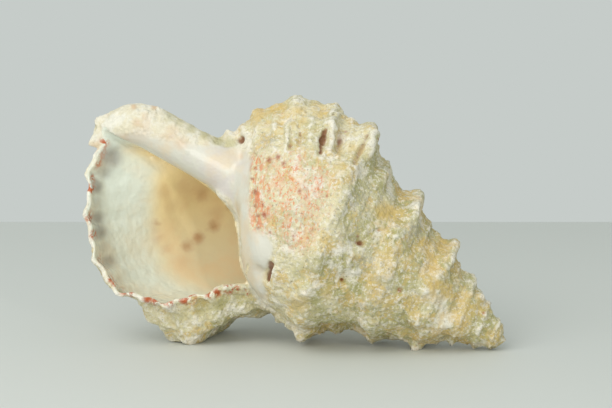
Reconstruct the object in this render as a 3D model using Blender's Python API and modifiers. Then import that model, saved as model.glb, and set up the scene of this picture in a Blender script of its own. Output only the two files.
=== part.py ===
"""A large, worn, knobbly sea-snail shell lying on its lip and spire.

Metres, +Z up. Lengths of the section curves are millimetres at the present lip;
every earlier growth stage is the same curve, shrunk towards the apex.
"""

import math

import bpy
import numpy as np
from mathutils import Matrix, Vector, noise

NAME = "shell"
MM = 0.001

# Growth
GROWTH_PER_TURN = 1.464
FIRST_ANGLE = -2270.0
LIP_ANGLE = 12.0
APEX_SETBACK = 7.3
ROW_ARC = 2.0
ROW_ANGLE = 6.0
SECTION_SAMPLES = 84
CURVE_STEPS = 24
AXIS_OVERLAP = 1.2
CORE_FROM_APEX = (186.0, 88.0)
CORE_SAMPLES = 12

# Resting pose, degrees
AXIS_RISE = 28.2
AXIS_TURN_BACK = 10.0
ROLL_BACK = 12.0

# Outline of a whorl in the half plane through the axis: (from axis, from apex)
WHORL = [
    (28.0, 83.0),
    (39.0, 88.5),
    (47.0, 96.0),
    (51.5, 103.5),
    (57.5, 111.0),
    (61.0, 117.0),
    (60.8, 126.0),
    (59.3, 138.0),
    (54.5, 149.5),
    (45.5, 160.0),
    (32.0, 167.5),
    (22.0, 172.0),
    (17.0, 178.0),
    (14.5, 184.0),
    (12.0, 189.5),
    (8.0, 193.5),
    (-1.2, 195.0),
]
SHOULDER_FROM_APEX = 117.0

# Outline of the lip's edge, point for point with the whorl
RIM = [
    (24.0, 98.0),
    (30.5, 103.7),
    (34.0, 109.0),
    (38.0, 114.0),
    (45.0, 120.0),
    (52.0, 126.5),
    (56.0, 133.5),
    (58.3, 141.5),
    (59.8, 152.3),
    (53.8, 163.6),
    (45.6, 173.2),
    (33.6, 181.8),
    (20.4, 186.4),
    (11.8, 187.2),
    (13.0, 190.0),
    (8.0, 194.0),
    (-1.2, 195.0),
]

# Inner side of the hollow, from the canal back to the corner at the shoulder
INNER_SIDE = [
    (7.0, 185.0),
    (4.6, 176.0),
    (4.4, 162.0),
    (4.6, 146.0),
    (6.5, 134.0),
    (10.0, 126.5),
    (17.0, 120.0),
    (25.5, 114.0),
    (30.5, 107.5),
]
WALL = 3.4
LIP_EDGE = 2.0
HOLLOW_FIRST_ANGLE = -185.0
HOLLOW_LAST_ANGLE = 42.0
HOLLOW_STEP = 3.0
HOLLOW_TAIL_ANGLE = 40.0
HOLLOW_TAIL_SIZE = 0.35
OUTER_SAMPLES = 50
INNER_SAMPLES = 30
CORNER_FROM_APEX = 104.5
CANAL_FROM_APEX = 185.5

# Where the section changes to the lip's edge: the base, below this height, opens earlier
MOUTH_FIRST_ANGLE = -30.0
BASE_FIRST_ANGLE = -42.0
BASE_FROM_APEX = 138.0
BASE_BLEND = 16.0

# Lip thickenings left at every half turn
VARIX_STEP = 180.0
FLAT_RATIO = 0.79
WIDE_RATIO = 0.85
VARIX_RISE = 0.08
VARIX_SPREAD = 52.0
VARIX_LEDGE = 0.25
VARIX_LEDGE_ANGLE = 5.0
VARIX_EDGE = 7.0

# Knobs
KNOB_START = -248.0
KNOB_STEP = 46.0
KNOB_HEIGHT = 6.0
KNOB_ANGLE = 9.0
KNOB_LENGTH = 5.8
SECOND_ROW_HEIGHT = 0.35
SECOND_ROW_LENGTH = 3.5
KNOBS_AHEAD = 5
KNOBS_BEHIND = 48
VARIX_KNOB_GAP = 21.0
VARIX_KNOB_HEIGHTS = [11.0, 2.2, 1.0, 4.5, 2.0, 9.0, 6.0, 4.5, 3.0, 3.0, 3.0, 3.0, 3.0, 3.0]
LIP_KNOB_LENGTH = 8.5
LEANING_KNOB_ANGLE = -27.0
LEANING_KNOB_HEIGHT = 5.9

# Knobs and hollows of the side that the mouth faces, where the even step doesn't hold:
# (angle, from apex at the lip's scale, radius, height), the last two at real size
OWN_KNOB_TURNS = 3
OWN_KNOBS_FIRST = -345.0
OWN_KNOBS_LAST = -225.0
OWN_KNOBS = [
    (-231.0, 121.0, 5.0, 2.4),
    (-280.0, 118.0, 4.5, 1.6),
    (-310.0, 119.5, 4.5, 1.8),
    (-334.0, 120.0, 4.5, 2.0),
    (-596.0, 124.0, 5.0, 3.6),
    (-630.0, 124.0, 3.8, 2.8),
    (-659.0, 126.0, 4.2, 3.8),
    (-686.0, 122.0, 4.5, 2.4),
    (-960.0, 120.0, 4.0, 1.6),
    (-985.0, 129.0, 4.2, 3.6),
    (-1024.0, 128.0, 3.8, 3.4),
    (-1080.0, 118.0, 4.6, 3.0),
    (-1366.0, 130.0, 3.4, 2.0),
    (0.0, 149.0, 7.0, 2.8),
]
HOLLOWS = [
    (-216.5, 135.5, 2.6, -3.0),
    (-213.0, 127.0, 2.8, -1.9),
    (-214.0, 117.0, 3.2, -2.2),
    (-219.5, 147.2, 1.8, -1.6),
    (-224.0, 155.0, 2.4, -1.3),
    (-314.0, 145.0, 2.6, -2.4),
    (-258.7, 101.1, 2.4, -2.2),
    (-289.4, 100.7, 2.2, -2.0),
    (-361.0, 137.0, 5.5, -4.5),
]

# Spiral cords, strongest where they flute the old lips
CORD_PITCH = 19.0
CORD_HEIGHT = 0.25
SECOND_CORD = 0.4
CORDS_FROM_APEX = (88.0, 96.0)
CORDS_END_FROM_APEX = (174.0, 186.0)
VARIX_CORD_HEIGHT = 1.9
RIM_CORD_HEIGHT = 1.2
FLUTE_GAIN = 1.7

# Flare of the last lip
FLARE_ANGLE = 42.0
FLARE = 7.0
FLARE_FROM_APEX = (116.0, 152.0)
FLARE_END_FROM_APEX = (174.0, 188.0)
OLD_LIP_FLARE = 0.87

# The last lip is thinner where it meets the turn before
LIP_CORNER_DEPTH = 7.0
LIP_CORNER_FROM_APEX = 99.0
LIP_CORNER_LENGTH = 8.5
LIP_CORNER_ANGLE = 32.0

# Height of the shoulder at the last lip
LIP_SHOULDER_SHIFT = 8.0
SHIFT_ANGLE = 60.0

# Callus spread over the body beside the mouth: (angle, from apex of its edge)
CALLUS_EDGE = [
    (-345.0, 137.0),
    (-329.0, 140.5),
    (-316.0, 147.0),
    (-302.0, 145.5),
    (-293.0, 147.5),
    (-287.0, 158.0),
    (-256.0, 163.0),
    (-236.0, 167.0),
]
CALLUS_RISE = 1.3
CALLUS_SLOPE = 1.6

# Column at the centre, with the callus folded round it:
# (from apex, offset, half width, half depth)
COLUMN = [
    (112.0, 4.0, 9.0, 8.0),
    (122.0, 4.9, 9.4, 9.5),
    (136.0, 5.2, 9.4, 10.0),
    (150.0, 5.0, 9.2, 10.0),
    (164.0, 4.8, 9.0, 9.5),
    (176.0, 4.4, 9.0, 8.4),
    (185.0, 1.6, 8.6, 7.0),
    (190.5, -2.2, 7.6, 5.5),
    (194.0, -4.5, 5.0, 4.0),
    (195.6, -5.5, 2.5, 2.0),
]
COLUMN_SIDES = 28

# Worn surface
LUMP_HEIGHT = 0.9
LUMP_SIZE = 11.0
FINE_LUMPS = 0.5
FINE_LUMP_RATE = 2.1

# Solid
VOXEL = 1.15 * MM
TRIANGLES = 9000
WEAR_DEPTH = 0.9 * MM
WEAR_BLOCK = 400.0 * MM


def growth(angle):
    return GROWTH_PER_TURN ** (angle / 360.0)


def smooth(value):
    value = np.clip(value, 0.0, 1.0)
    return value * value * (3.0 - 2.0 * value)


def between(value, low, high):
    """0 below low, 1 above high and smooth between them."""
    return smooth((value - low) / (high - low))


def spline(points, samples):
    """Points at even spacing along a smooth curve through the given ones."""
    points = np.asarray(points, float)
    held = np.vstack([2 * points[0] - points[1], points, 2 * points[-1] - points[-2]])
    dense = []
    for first, second, third, fourth in zip(held, held[1:], held[2:], held[3:]):
        for part in np.linspace(0.0, 1.0, CURVE_STEPS, endpoint=False):
            dense.append(
                0.5
                * (
                    2 * second
                    + (third - first) * part
                    + (2 * first - 5 * second + 4 * third - fourth) * part**2
                    + (3 * second - first - 3 * third + fourth) * part**3
                )
            )
    dense.append(held[-2])
    dense = np.array(dense)
    run = run_of(dense)
    wanted = np.linspace(0.0, run[-1], samples)
    return np.column_stack([np.interp(wanted, run, dense[:, axis]) for axis in (0, 1)])


def run_of(curve):
    """Length along the curve at each of its points."""
    steps = np.linalg.norm(np.diff(curve, axis=0), axis=1)
    return np.concatenate([[0.0], np.cumsum(steps)])


def normals_of(curve):
    """Unit normals of an open curve, pointing away from the axis side."""
    along = np.gradient(curve, axis=0)
    along /= np.linalg.norm(along, axis=1)[:, None]
    return np.column_stack([along[:, 1], -along[:, 0]])


def roundness(angle):
    """How wide the section is: flattened front and back."""
    wide = 0.5 + 0.5 * math.cos(math.radians(2 * angle))
    return FLAT_RATIO + (WIDE_RATIO - FLAT_RATIO) * wide


def varix(angle):
    """Share of the full thickening: a slow rise up to each old lip and a sharp fall after it."""
    after = angle % VARIX_STEP
    before = VARIX_STEP - after
    ledge = VARIX_LEDGE * smooth((VARIX_SPREAD - before) / VARIX_LEDGE_ANGLE)
    slope = (1.0 - VARIX_LEDGE) * smooth(1.0 - before / VARIX_SPREAD)
    past = smooth(1.0 - after / VARIX_EDGE)
    return max(ledge + slope, past)


def knob_angles():
    """Knobs stand at an even step, except close to a varix, which has its own."""
    found = []
    for step in range(-KNOBS_AHEAD, KNOBS_BEHIND):
        angle = KNOB_START - KNOB_STEP * step
        nearest = abs((angle + VARIX_STEP / 2) % VARIX_STEP - VARIX_STEP / 2)
        turn = math.floor(-angle / 360.0)
        own = OWN_KNOBS_FIRST < angle + 360.0 * turn < OWN_KNOBS_LAST and turn < OWN_KNOB_TURNS
        if nearest > VARIX_KNOB_GAP and not own:
            found.append(angle)
    return found


def flared(angle, curve):
    """How far the base of the section opens at each varix and most at the lip."""
    last = smooth((angle + FLARE_ANGLE) / FLARE_ANGLE)
    base = between(curve[:, 1], *FLARE_FROM_APEX) * (1.0 - between(curve[:, 1], *FLARE_END_FROM_APEX))
    return FLARE * max(last, OLD_LIP_FLARE * varix(angle)) ** 2 * base


def opening(angle, curve, first):
    """Share of the change from the whorl's outline to the lip's edge: the base opens early."""
    base = between(curve[:, 1], BASE_FROM_APEX, BASE_FROM_APEX + BASE_BLEND)
    start = first + (BASE_FIRST_ANGLE - first) * base
    return smooth((angle - start) / (LIP_ANGLE - start))


def cords(curve, run):
    """Rounded ridges that run along the whorls, every second one smaller."""
    turns = 2 * math.pi * (run - np.interp(SHOULDER_FROM_APEX, curve[:, 1], run)) / CORD_PITCH
    shown = between(curve[:, 1], *CORDS_FROM_APEX) * (1.0 - between(curve[:, 1], *CORDS_END_FROM_APEX))
    return shown * ((1.0 - SECOND_CORD) * np.cos(turns) + SECOND_CORD * np.cos(2 * turns))


def callus(angle, curve):
    """The glaze laid over the whorl beside the mouth, with a raised edge."""
    angles, edges = np.array(CALLUS_EDGE).T
    if not angles[0] < angle < angles[-1]:
        return np.zeros(len(curve))
    return CALLUS_RISE * smooth((curve[:, 1] - np.interp(angle, angles, edges)) / CALLUS_SLOPE)


def whorl_row(angle, curve, rim, normals, run, knobs):
    """The section at one angle: the outline with its varix, knobs, cords and flare."""
    share = varix(angle)
    row = curve.copy()
    row[:, 0] *= roundness(angle) + VARIX_RISE * share
    shoulder = SHOULDER_FROM_APEX + LIP_SHOULDER_SHIFT * smooth(1.0 + angle / SHIFT_ANGLE)
    from_shoulder = run - np.interp(shoulder, curve[:, 1], run)
    shoulder_band = np.exp(-((from_shoulder / KNOB_LENGTH) ** 2))
    second_band = np.exp(-(((from_shoulder - CORD_PITCH) / SECOND_ROW_LENGTH) ** 2))
    out = flared(angle, curve)
    for knob in knobs:
        bump = math.exp(-(((angle - knob) / KNOB_ANGLE) ** 2))
        out += bump * KNOB_HEIGHT * (shoulder_band + SECOND_ROW_HEIGHT * second_band)
    back = max(0, round(-angle / VARIX_STEP))
    lip_band = np.exp(-((from_shoulder / LIP_KNOB_LENGTH) ** 2))
    out += VARIX_KNOB_HEIGHTS[back] * share * (shoulder_band if back else lip_band)
    leaning = math.exp(-(((angle - LEANING_KNOB_ANGLE) / KNOB_ANGLE) ** 2))
    out += LEANING_KNOB_HEIGHT * leaning * shoulder_band
    ridges = cords(curve, run)
    fluted = smooth(FLUTE_GAIN * share)
    out += ridges * (CORD_HEIGHT + (VARIX_CORD_HEIGHT - CORD_HEIGHT) * fluted)
    out += callus(angle, curve)
    from_corner = (curve[:, 1] - LIP_CORNER_FROM_APEX) / LIP_CORNER_LENGTH
    out -= LIP_CORNER_DEPTH * smooth(1.0 + angle / LIP_CORNER_ANGLE) * np.exp(-(from_corner ** 2))
    row += normals * out[:, None]
    edge = rim + normals * (RIM_CORD_HEIGHT * ridges)[:, None]
    return row + (edge - row) * opening(angle, curve, 0.0)[:, None]


def shell_points(angle, row):
    """A row of the half plane, set at its angle and size. Shell axes: wide, front, axis."""
    size = growth(angle)
    turned = math.radians(angle)
    across, along = row[:, 0] * size, row[:, 1] * size - APEX_SETBACK
    return np.column_stack([across * math.cos(turned), across * math.sin(turned), along])


def tube_mesh(name, rows):
    """A closed skin over sections of equal length."""
    rings, sides = len(rows), len(rows[0])
    faces = []
    for ring in range(rings - 1):
        for side in range(sides):
            following = (side + 1) % sides
            faces.append(
                (
                    ring * sides + side,
                    ring * sides + following,
                    (ring + 1) * sides + following,
                    (ring + 1) * sides + side,
                )
            )
    faces.append(tuple(reversed(range(sides))))
    faces.append(tuple(range((rings - 1) * sides, rings * sides)))
    mesh = bpy.data.meshes.new(name)
    mesh.from_pydata([Vector(point) * MM for row in rows for point in row], [], faces)
    mesh.update()
    return mesh


def growth_angles(first, last):
    """Angles from first to last, an even arc apart on the shell's widest line."""
    found = [last]
    widest = max(across for across, _ in WHORL)
    while found[-1] > first:
        reach = widest * growth(found[-1])
        found.append(found[-1] - min(ROW_ANGLE, math.degrees(ROW_ARC / reach)))
    return found[::-1]


def whorls():
    """All turns as one coiled solid."""
    curve = spline(WHORL, SECTION_SAMPLES)
    rim = spline(RIM, SECTION_SAMPLES)
    normals, run = normals_of(curve), run_of(curve)
    knobs = knob_angles()
    angles = growth_angles(FIRST_ANGLE, LIP_ANGLE)
    rows = [shell_points(at, whorl_row(at, curve, rim, normals, run, knobs)) for at in angles]
    rows = raised(np.array(rows), np.array(angles), curve[:, 1])
    core = [(-AXIS_OVERLAP, height) for height in np.linspace(*CORE_FROM_APEX, CORE_SAMPLES)]
    cores = [shell_points(at, np.array(core)) for at in angles]
    return lumpy(tube_mesh("whorls", [np.vstack(pair) for pair in zip(rows, cores)]))


def raised(rows, angles, from_apex):
    """Pushes each own knob out of the skin, and each hollow into it."""
    along = np.gradient(rows, axis=0)
    around = np.gradient(rows, axis=1)
    outward = np.cross(along, around)
    outward /= np.maximum(np.linalg.norm(outward, axis=2), 1e-9)[:, :, None]
    moved = np.zeros(rows.shape)
    for angle, height, radius, rise in OWN_KNOBS + HOLLOWS:
        ring = np.argmin(np.abs(angles - angle))
        side = np.argmin(np.abs(from_apex - height))
        gap = np.linalg.norm(rows - rows[ring, side], axis=2)
        moved += (rise * np.exp(-((gap / radius) ** 2)))[:, :, None] * outward[ring, side]
    return rows + moved


def lumpy(mesh):
    """Pushes the skin in and out a little, as wear and growth leave it."""
    places = np.empty(len(mesh.vertices) * 3, np.float32)
    mesh.vertices.foreach_get("co", places)
    places = places.reshape(-1, 3)
    outward = np.empty(len(mesh.vertices) * 3, np.float32)
    mesh.vertex_normals.foreach_get("vector", outward)
    scaled = [Vector(place) for place in places / (LUMP_SIZE * MM)]
    push = np.array([noise.noise(at) + FINE_LUMPS * noise.noise(at * FINE_LUMP_RATE) for at in scaled])
    places += outward.reshape(-1, 3) * (push * LUMP_HEIGHT * MM)[:, None]
    mesh.vertices.foreach_set("co", places.ravel())
    mesh.update()
    return mesh


def column():
    """The pillar at the centre that carries the canal and the callus."""
    rows = []
    for along, offset, wide, deep in COLUMN:
        turns = np.linspace(0.0, 2 * math.pi, COLUMN_SIDES, endpoint=False)
        across = -offset + wide * np.cos(turns)
        front = 0.5 * offset + deep * np.sin(turns)
        rows.append(np.column_stack([across, front, np.full(COLUMN_SIDES, along - APEX_SETBACK)]))
    return tube_mesh("column", rows)


def hollow():
    """The living space of the last turn, a wall inside the whorl and open at the lip."""
    curve, rim = spline(WHORL, SECTION_SAMPLES), spline(RIM, SECTION_SAMPLES)
    normals, run = normals_of(curve), run_of(curve)
    rim_normals, ridges = normals_of(rim), cords(curve, run)
    inner = spline(INNER_SIDE, INNER_SAMPLES)
    rows = []
    for angle in np.arange(HOLLOW_FIRST_ANGLE, HOLLOW_LAST_ANGLE + 1.0, HOLLOW_STEP):
        row = curve.copy()
        row[:, 0] *= roundness(min(angle, 0.0))
        row += normals * (flared(min(angle, 0.0), curve) - WALL)[:, None]
        mouth = rim + rim_normals * (RIM_CORD_HEIGHT * ridges - LIP_EDGE)[:, None]
        row += (mouth - row) * opening(angle, curve, MOUTH_FIRST_ANGLE)[:, None]
        row = row[(row[:, 1] > CORNER_FROM_APEX) & (row[:, 1] < CANAL_FROM_APEX)]
        row = np.vstack([spline(row, OUTER_SAMPLES), inner])
        tail = smooth((angle - HOLLOW_FIRST_ANGLE) / HOLLOW_TAIL_ANGLE)
        middle = row.mean(axis=0)
        row = middle + (row - middle) * (HOLLOW_TAIL_SIZE + (1.0 - HOLLOW_TAIL_SIZE) * tail)
        rows.append(shell_points(angle, row))
    return tube_mesh("hollow", rows)


def pose():
    """Shell axes to the resting pose, before the drop to the ground."""
    rise, back = math.radians(AXIS_RISE), math.radians(AXIS_TURN_BACK)
    axis = Vector((-math.cos(rise) * math.cos(back), math.cos(rise) * math.sin(back), math.sin(rise)))
    down = Vector((0.0, 0.0, -1.0))
    wide = (down - axis * down.dot(axis)).normalized()
    front = axis.cross(wide)
    roll = math.radians(ROLL_BACK)
    lip = wide * math.cos(roll) + front * math.sin(roll)
    face = front * math.cos(roll) - wide * math.sin(roll)
    frame = Matrix((lip, face, axis)).transposed()
    return frame.to_4x4()


def new_object(name, mesh, collection):
    made = bpy.data.objects.new(name, mesh)
    collection.objects.link(made)
    return made


def shell_material():
    material = bpy.data.materials.new("worn shell")
    material.use_nodes = True
    surface = material.node_tree.nodes["Principled BSDF"]
    surface.inputs["Base Color"].default_value = (0.66, 0.56, 0.38, 1.0)
    surface.inputs["Roughness"].default_value = 0.7
    return material


def evaluated_points(shape):
    graph = bpy.context.evaluated_depsgraph_get()
    mesh = shape.evaluated_get(graph).to_mesh()
    points = np.empty(len(mesh.vertices) * 3, np.float32)
    mesh.vertices.foreach_get("co", points)
    shape.evaluated_get(graph).to_mesh_clear()
    return points.reshape(-1, 3)


def wear_block(size):
    """A flat slab under the shell, which takes off the tips that it rests on."""
    mesh = bpy.data.meshes.new("wear block")
    half, depth = size / 2, size / 4
    corners = [(x, y, z) for z in (-depth, 0.0) for y in (-half, half) for x in (-half, half)]
    faces = [(0, 2, 3, 1), (4, 5, 7, 6), (0, 1, 5, 4), (2, 6, 7, 3), (0, 4, 6, 2), (1, 3, 7, 5)]
    mesh.from_pydata(corners, [], faces)
    return mesh


def cut(shape, name, other):
    boolean = shape.modifiers.new(name, "BOOLEAN")
    boolean.operation = "DIFFERENCE"
    boolean.solver = "EXACT"
    boolean.object = other


def joined(name, meshes):
    """One mesh holding all of these skins, each still closed on its own."""
    places, faces = [], []
    for mesh in meshes:
        start = len(places)
        places += [vertex.co.copy() for vertex in mesh.vertices]
        faces += [tuple(start + corner for corner in face.vertices) for face in mesh.polygons]
    made = bpy.data.meshes.new(name)
    made.from_pydata(places, [], faces)
    return made


def triangle_count(shape):
    graph = bpy.context.evaluated_depsgraph_get()
    mesh = shape.evaluated_get(graph).to_mesh()
    mesh.calc_loop_triangles()
    count = len(mesh.loop_triangles)
    shape.evaluated_get(graph).to_mesh_clear()
    return count


def thin_out(shape):
    """Keeps faces where the surface bends and joins them where it is plain."""
    count = triangle_count(shape)
    thin = shape.modifiers.new("fewer faces", "DECIMATE")
    thin.use_collapse_triangulate = True
    thin.ratio = TRIANGLES / count


def ground(shell, space, cutters):
    """Sets the shell down on the tips of three knobs, each worn to a small flat at height zero."""
    places = evaluated_points(shell)
    low, high = places.min(axis=0), places.max(axis=0)
    middle = (low + high) / 2
    shift = Matrix.Translation((-middle[0], -middle[1], -low[2] - WEAR_DEPTH))
    shell.data.transform(shift)
    space.data.transform(shift)
    block = new_object("wear block", wear_block(WEAR_BLOCK), cutters)
    block.hide_render = True
    block.display_type = "WIRE"
    cut(shell, "worn tips", block)


def build():
    for held in list(bpy.data.objects):
        bpy.data.objects.remove(held)
    scene = bpy.context.scene
    kept = bpy.data.collections.new("sea snail shell")
    cutters = bpy.data.collections.new("shell cutters")
    scene.collection.children.link(kept)
    scene.collection.children.link(cutters)

    whorl_mesh, space_mesh = whorls(), hollow()
    whorl_mesh.flip_normals()
    space_mesh.flip_normals()
    skin = joined(NAME, [whorl_mesh, column()])
    stand = pose()
    skin.transform(stand)
    space_mesh.transform(stand)
    shell = new_object(NAME, skin, kept)
    space = new_object("hollow", space_mesh, cutters)
    space.hide_render = True
    space.display_type = "WIRE"

    remesh = shell.modifiers.new("one solid", "REMESH")
    remesh.mode = "VOXEL"
    remesh.voxel_size = VOXEL
    cut(shell, "hollow", space)
    thin_out(shell)
    ground(shell, space, cutters)
    shell.data.shade_smooth()
    shell.data.materials.append(shell_material())


build()
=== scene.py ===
import math
import time

import bpy
import numpy as np
from mathutils import Matrix, Vector, noise
from mathutils.bvhtree import BVHTree
from mathutils.kdtree import KDTree


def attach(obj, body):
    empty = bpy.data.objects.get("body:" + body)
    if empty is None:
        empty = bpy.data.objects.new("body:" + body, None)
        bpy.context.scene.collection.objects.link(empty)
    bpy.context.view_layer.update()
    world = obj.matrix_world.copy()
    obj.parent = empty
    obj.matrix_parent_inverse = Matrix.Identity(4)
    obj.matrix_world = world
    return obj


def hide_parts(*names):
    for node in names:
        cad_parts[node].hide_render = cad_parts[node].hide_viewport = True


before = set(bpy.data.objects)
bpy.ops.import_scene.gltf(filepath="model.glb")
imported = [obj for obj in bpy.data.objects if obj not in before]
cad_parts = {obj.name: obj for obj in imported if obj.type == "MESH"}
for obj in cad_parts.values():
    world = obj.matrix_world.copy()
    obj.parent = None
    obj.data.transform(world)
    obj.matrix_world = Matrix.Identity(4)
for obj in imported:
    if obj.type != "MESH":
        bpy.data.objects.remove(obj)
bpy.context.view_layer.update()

mm = 0.001
started = time.time()


def report(stage):
    print(f"{time.time() - started:5.1f} s  {stage}")


# Camera, fitted to the outline of the shell in the photograph
view = {
    "target": (5.5, 0.0, 56.4),  # mm
    "distance": 750.0,
    "elevation": 8.0,
    "lens": 109.0,
    "sensor": 36.0,
    "wide": 612,  # the photograph's size in pixels
    "high": 408,
}


def viewAxes():
    rise = math.radians(view["elevation"])
    forward = np.array([0.0, math.cos(rise), -math.sin(rise)])
    right = np.array([1.0, 0.0, 0.0])
    up = np.cross(right, forward)
    eye = np.array(view["target"]) - forward * view["distance"]
    return eye, right, up, forward


def seenAt(places):
    # where points in mm fall in the photograph, in pixels
    eye, right, up, forward = viewAxes()
    sight = places - eye
    scale = view["lens"] / view["sensor"] * view["wide"] / (sight @ forward)
    x = view["wide"] / 2 + sight @ right * scale
    y = view["high"] / 2 - sight @ up * scale
    return x, y


def makeCamera():
    eye, right, up, forward = viewAxes()
    data = bpy.data.cameras.new("view")
    data.lens = view["lens"]
    data.sensor_width = view["sensor"]
    data.clip_start = 0.01
    camera = bpy.data.objects.new("view", data)
    camera.location = Vector(eye) * mm
    camera.rotation_euler = Vector(forward).to_track_quat("-Z", "Y").to_euler()
    bpy.context.scene.collection.objects.link(camera)
    bpy.context.scene.camera = camera


# The coiled shell. Lengths in mm at the present lip, angles in degrees back from it
coil = {
    "growthPerTurn": 1.464,
    "firstAngle": -2270.0,
    "lipAngle": 12.0,
    "apexSetback": 7.3,
    "axisRise": 28.2,
    "axisTurnBack": 10.0,
    "rollBack": 12.0,
    "rowArc": 1.0,
    "samples": 150,
    # (from axis, from apex)
    "whorl": [
        (28.0, 83.0), (39.0, 88.5), (47.0, 96.0), (51.5, 103.5), (57.5, 111.0), (61.0, 117.0),
        (60.8, 126.0), (59.3, 138.0), (54.5, 149.5), (45.5, 160.0), (32.0, 167.5), (22.0, 172.0),
        (17.0, 178.0), (14.5, 184.0), (12.0, 189.5), (8.0, 193.5), (-1.2, 195.0),
    ],
    "rim": [
        (24.0, 98.0), (30.5, 103.7), (34.0, 109.0), (38.0, 114.0), (45.0, 120.0), (52.0, 126.5),
        (56.0, 133.5), (58.3, 141.5), (59.8, 152.3), (53.8, 163.6), (45.6, 173.2), (33.6, 181.8),
        (20.4, 186.4), (11.8, 187.2), (13.0, 190.0), (8.0, 194.0), (-1.2, 195.0),
    ],
    "shoulder": 117.0,
    "flatRatio": 0.79,
    "wideRatio": 0.85,
}
oldLip = {
    "step": 180.0,
    "rise": 0.08,
    "spread": 52.0,
    "edge": 7.0,
    "knobs": [11.0, 2.2, 1.0, 4.5, 2.0, 9.0, 6.0, 4.5, 3.0, 3.0, 3.0, 3.0, 3.0, 3.0],
}
knobForm = {
    "start": -248.0,
    "step": 46.0,
    "height": 6.0,
    "secondRow": 0.35,
    "angle": 9.0,
    "length": 5.8,
    "clearOfLip": 21.0,
    "leaningAngle": -27.0,
    "leaningHeight": 5.9,
    "lipLength": 8.5,
    "ownFirst": -345.0,
    "ownLast": -225.0,
    "ownTurns": 3,
    # knobs of the side with the mouth: (angle, from apex at the lip's scale, radius, height)
    "own": [
        (-231.0, 121.0, 5.0, 2.4), (-280.0, 118.0, 4.5, 1.6), (-310.0, 119.5, 4.5, 1.8),
        (-334.0, 120.0, 4.5, 2.0), (-596.0, 124.0, 5.0, 3.6), (-630.0, 124.0, 3.8, 2.8),
        (-659.0, 126.0, 4.2, 3.8), (-686.0, 122.0, 4.5, 2.4), (-960.0, 120.0, 4.0, 1.6),
        (-985.0, 129.0, 4.2, 3.6), (-1024.0, 128.0, 3.8, 3.4), (-1080.0, 118.0, 4.6, 3.0),
        (-1366.0, 130.0, 3.4, 2.0), (0.0, 149.0, 7.0, 2.8),
    ],
    # hollows, the same way
    "hollows": [
        (-216.5, 135.5, 2.6, -3.0), (-213.0, 127.0, 2.8, -1.9), (-214.0, 117.0, 3.2, -2.2),
        (-219.5, 147.2, 1.8, -1.6), (-224.0, 155.0, 2.4, -1.3), (-314.0, 145.0, 2.6, -2.4),
        (-258.7, 101.1, 2.4, -2.2), (-289.4, 100.7, 2.2, -2.0),
        (-361.0, 137.0, 5.5, -4.5),
    ],
}
callusForm = {
    # (angle, from apex of its edge)
    "edge": [
        (-345.0, 137.0), (-329.0, 140.5), (-316.0, 147.0), (-302.0, 145.5), (-293.0, 147.5),
        (-287.0, 158.0), (-256.0, 163.0), (-236.0, 167.0),
    ],
    "rise": 1.3,
    "slope": 1.6,
}
cordForm = {
    "pitch": 19.0,
    "height": 0.25,
    "oldLipHeight": 1.9,
    "rimHeight": 1.2,
    "fluteGain": 1.7,
    "start": (88.0, 8.0),
    "end": (186.0, 12.0),
}
flareForm = {
    "angle": 42.0,
    "out": 7.0,
    "oldLips": 0.87,
    "shoulderShift": 8.0,
    "shoulderAngle": 60.0,
    "rise": (116.0, 36.0),  # (from apex, length) over which the flare comes in
    "end": (188.0, 14.0),  # and up to which it goes out
}
# the last lip is thinner where it meets the turn before
lipCorner = {"depth": 7.0, "fromApex": 99.0, "length": 8.5, "angle": 32.0}
spaceForm = {
    # inner side, from the canal back to the corner at the shoulder
    "inner": [
        (7.0, 185.0), (4.6, 176.0), (4.4, 162.0), (4.6, 146.0), (6.5, 134.0), (10.0, 126.5),
        (17.0, 120.0), (25.5, 114.0), (30.5, 107.5),
    ],
    "wall": 3.4,
    "lipEdge": 2.0,
    "firstAngle": -185.0,
    "lastAngle": 42.0,
    "tailAngle": 40.0,
    "tailSize": 0.35,
    "mouthAngle": -30.0,
    "baseAngle": -42.0,
    "base": (138.0, 16.0),
    "corner": 104.5,
    "canal": 185.5,
}
columnForm = {
    # (from apex, offset, half width, half depth)
    "rows": [
        (112.0, 4.0, 9.0, 8.0), (122.0, 4.9, 9.4, 9.5), (136.0, 5.2, 9.4, 10.0),
        (150.0, 5.0, 9.2, 10.0), (164.0, 4.8, 9.0, 9.5), (176.0, 4.4, 9.0, 8.4),
        (185.0, 1.6, 8.6, 7.0), (190.5, -2.2, 7.6, 5.5), (194.0, -4.5, 5.0, 4.0),
        (195.6, -5.5, 2.5, 2.0),
    ],
    "sides": 48,
}
solidForm = {
    "lumpHeight": 0.9,
    "lumpSize": 11.0,
    "firstVoxel": 0.75,
    "lastVoxel": 0.62,
    "wear": 0.9,
    "triangles": 190000,
}


def growth(angle):
    return coil["growthPerTurn"] ** (angle / 360.0)


def smooth(value):
    value = np.clip(value, 0.0, 1.0)
    return value * value * (3.0 - 2.0 * value)


def spline(points, samples):
    # even points along a smooth curve through the given ones
    points = np.asarray(points, float)
    held = np.vstack([2 * points[0] - points[1], points, 2 * points[-1] - points[-2]])
    part = np.linspace(0.0, 1.0, 24, endpoint=False)[:, None]
    dense = []
    for a, b, c, d in zip(held, held[1:], held[2:], held[3:]):
        bend = (2 * a - 5 * b + 4 * c - d) * part**2 + (3 * b - a - 3 * c + d) * part**3
        dense.append(0.5 * (2 * b + (c - a) * part + bend))
    dense = np.vstack(dense + [points[-1:]])
    run = runOf(dense)
    wanted = np.linspace(0.0, run[-1], samples)
    return np.column_stack([np.interp(wanted, run, dense[:, axis]) for axis in range(dense.shape[1])])


def runOf(curve):
    steps = np.linalg.norm(np.diff(curve, axis=0), axis=1)
    return np.concatenate([[0.0], np.cumsum(steps)])


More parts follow.
